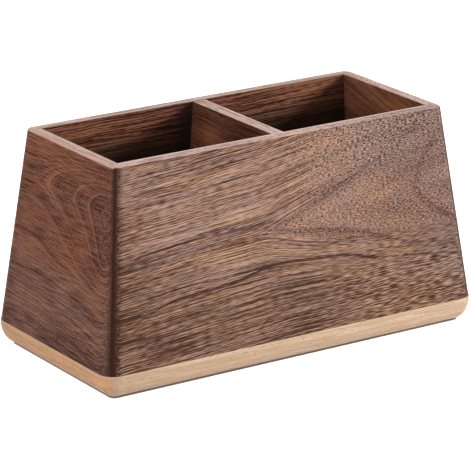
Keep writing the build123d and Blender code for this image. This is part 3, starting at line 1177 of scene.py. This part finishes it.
class PENHOLDER_OT_end_walls(Operator):
    """Builds the left and right end walls"""

    bl_idname = "pen_holder.end_walls"
    bl_label = "End walls"

    def execute(self, context):
        settings = settings_of(context)
        half_along = settings.sizes.foot_width / 2
        half_out = settings.sizes.foot_length / 2
        make_walls(settings, ("left_wall", "right_wall"), half_along, half_out, (1, 0, 2))
        return {"FINISHED"}


class PENHOLDER_OT_divider(Operator):
    """Builds the divider"""

    bl_idname = "pen_holder.divider"
    bl_label = "Divider"

    def execute(self, context):
        settings = settings_of(context)
        sizes = settings.sizes
        piece = make_piece(
            "divider_board", divider_grid(sizes), walnut("divider", sizes, settings.woods)
        )
        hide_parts("divider")
        return {"FINISHED"}


class PENHOLDER_OT_base_plate(Operator):
    """Builds the pale base plate"""

    bl_idname = "pen_holder.base_plate"
    bl_label = "Base plate"

    def execute(self, context):
        settings = settings_of(context)
        piece = make_piece("base_plate_board", plate_grid(settings.sizes), beech(settings.woods))
        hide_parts("base_plate")
        return {"FINISHED"}


class PENHOLDER_OT_joinery(Operator):
    """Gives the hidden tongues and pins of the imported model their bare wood"""

    bl_idname = "pen_holder.joinery"
    bl_label = "Joinery"

    def execute(self, context):
        material = bare_pin_wood(settings_of(context).woods)
        for name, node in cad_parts.items():
            if name.startswith("spline_") or name == "base_dowels":
                node.data.materials.clear()
                node.data.materials.append(material)
        return {"FINISHED"}


class PENHOLDER_OT_studio(Operator):
    """Sets up the floor, the even light, three soft lamps and the camera"""

    bl_idname = "pen_holder.studio"
    bl_label = "Studio"

    def execute(self, context):
        studio = settings_of(context).studio
        self.make_floor()
        self.make_sky(context.scene, studio.sky)
        for name, power, place, size in LAMPS:
            self.make_lamp(name, place, size, getattr(studio, power))
        self.make_camera(context.scene, studio)
        context.scene.view_settings.view_transform = "Standard"
        return {"FINISHED"}

    def seen_directly(self, finish):
        """1 for rays from the camera, a mirror or glass."""
        camera, glossy, through = (
            finish.node("ShaderNodeLightPath", {}, {}, out=f"Is {kind} Ray")
            for kind in ("Camera", "Glossy", "Transmission")
        )
        return camera.math("MAXIMUM", glossy).math("MAXIMUM", through)

    def make_floor(self):
        """A flat grid under the holder: white to the camera, and it keeps the holder's shadow, with a painted
            contact shadow where ambient occlusion finds the plate close over it.
        """
        side = np.linspace(-FLOOR_HALF, FLOOR_HALF, FLOOR_CELLS + 1)
        x, y = np.meshgrid(side, side, indexing="ij")
        points = np.stack([x, y, np.full_like(x, -FLOOR_DROP)], axis=-1).reshape(-1, 3)
        index = np.arange(x.size).reshape(x.shape)
        faces = np.stack([index[:-1, :-1], index[1:, :-1], index[1:, 1:], index[:-1, 1:]], axis=-1)
        mesh = bpy.data.meshes.new("floor")
        mesh.from_pydata(points.tolist(), [], faces.reshape(-1, 4).tolist())
        finish = Finish(bpy.data.materials.new("floor_white"))
        openness = finish.node(
            "ShaderNodeAmbientOcclusion", {"samples": CONTACT_SAMPLES}, {"Distance": CONTACT_REACH}, out="AO"
        )
        open_floor = openness.step(*CONTACT_OPEN)
        # Painted contact shadow: the floor's colour turns dark where the plate closes over it
        tone = finish.mix(open_floor, PAINTED_CONTACT_SHADE, FLOOR_TONE)
        matte = finish.node("ShaderNodeBsdfDiffuse", {}, {"Color": tone})
        glow = finish.node("ShaderNodeEmission", {}, {"Color": open_floor, "Strength": 1.0})
        lit = finish.node("ShaderNodeAddShader", {}, {0: matte, 1: glow})
        shader = finish.node("ShaderNodeMixShader", {}, {0: self.seen_directly(finish), 1: matte, 2: lit})
        finish.node("ShaderNodeOutputMaterial", {}, {"Surface": shader})
        mesh.materials.append(finish.owner)
        floor = bpy.data.objects.new("floor", mesh)
        bpy.context.scene.collection.objects.link(floor)

    def make_sky(self, scene, strength):
        """Even white light from all round, and plain white behind the holder."""
        finish = Finish(bpy.data.worlds.new("studio"))
        light = finish.node("ShaderNodeBackground", {}, {"Color": WHITE, "Strength": strength})
        white = finish.node("ShaderNodeBackground", {}, {"Color": WHITE, "Strength": 1.0})
        shader = finish.node("ShaderNodeMixShader", {}, {0: self.seen_directly(finish), 1: light, 2: white})
        finish.node("ShaderNodeOutputWorld", {}, {"Surface": shader})
        scene.world = finish.owner

    def make_lamp(self, name, place, size, power):
        """A square soft lamp that faces the middle of the holder."""
        lamp = bpy.data.lights.new(name, "AREA")
        lamp.shape = "SQUARE"
        lamp.size = size
        lamp.energy = power
        holder = bpy.data.objects.new(name, lamp)
        holder.location = place
        holder.rotation_euler = (Vector(LAMP_AIM) - Vector(place)).to_track_quat("-Z", "Y").to_euler()
        holder.visible_camera = False
        bpy.context.scene.collection.objects.link(holder)

    def make_camera(self, scene, studio):
        """The camera's axes from its azimuth, elevation and roll; it looks past the middle of the foot."""
        level = Vector((math.sin(studio.azimuth), -math.cos(studio.azimuth), 0.0))
        upright = Vector((0.0, 0.0, 1.0))
        back = level * math.cos(studio.elevation) + upright * math.sin(studio.elevation)
        flat_right = upright.cross(level)
        flat_up = back.cross(flat_right)
        right = flat_right * math.cos(studio.roll) + flat_up * math.sin(studio.roll)
        up = flat_up * math.cos(studio.roll) - flat_right * math.sin(studio.roll)
        middle = Vector((0.0, 0.0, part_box("base_plate")[1].z))
        place = middle - right * studio.aim_right + up * studio.aim_up + back * studio.distance
        data = bpy.data.cameras.new("camera")
        data.lens = studio.lens
        data.sensor_width = SENSOR_WIDTH
        data.clip_start, data.clip_end = CLIP
        camera = bpy.data.objects.new("camera", data)
        axes = Matrix((right, up, back)).transposed().to_4x4()
        camera.matrix_world = Matrix.Translation(place) @ axes
        scene.collection.objects.link(camera)
        scene.camera = camera


class PENHOLDER_PT_panel(Panel):
    """Lists the holder's steps and settings"""

    bl_idname = "PENHOLDER_PT_panel"
    bl_label = "Pen holder"
    bl_space_type = "VIEW_3D"
    bl_region_type = "UI"
    bl_category = "Pen holder"

    def draw(self, context):
        for step in STEPS:
            self.layout.operator(step.bl_idname)
        settings = settings_of(context)
        for group in (settings.sizes, settings.woods, settings.studio):
            box = self.layout.box()
            for key in group.__annotations__:
                box.prop(group, key)


STEPS = (
    PENHOLDER_OT_long_walls,
    PENHOLDER_OT_end_walls,
    PENHOLDER_OT_divider,
    PENHOLDER_OT_base_plate,
    PENHOLDER_OT_joinery,
    PENHOLDER_OT_studio,
)
CLASSES = (HolderSizes, HolderWoods, StudioSettings, HolderSettings, *STEPS, PENHOLDER_PT_panel)


def register():
    """Registers the settings, operators and panel."""
    for cls in CLASSES:
        bpy.utils.register_class(cls)
    bpy.types.Scene.pen_holder = PointerProperty(type=HolderSettings)


def unregister():
    """Takes them away again."""
    del bpy.types.Scene.pen_holder
    for cls in reversed(CLASSES):
        bpy.utils.unregister_class(cls)


def main():
    """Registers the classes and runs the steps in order."""
    register()
    bpy.ops.pen_holder.long_walls()
    bpy.ops.pen_holder.end_walls()
    bpy.ops.pen_holder.divider()
    bpy.ops.pen_holder.base_plate()
    bpy.ops.pen_holder.joinery()
    bpy.ops.pen_holder.studio()


if __name__ == "__main__":
    main()
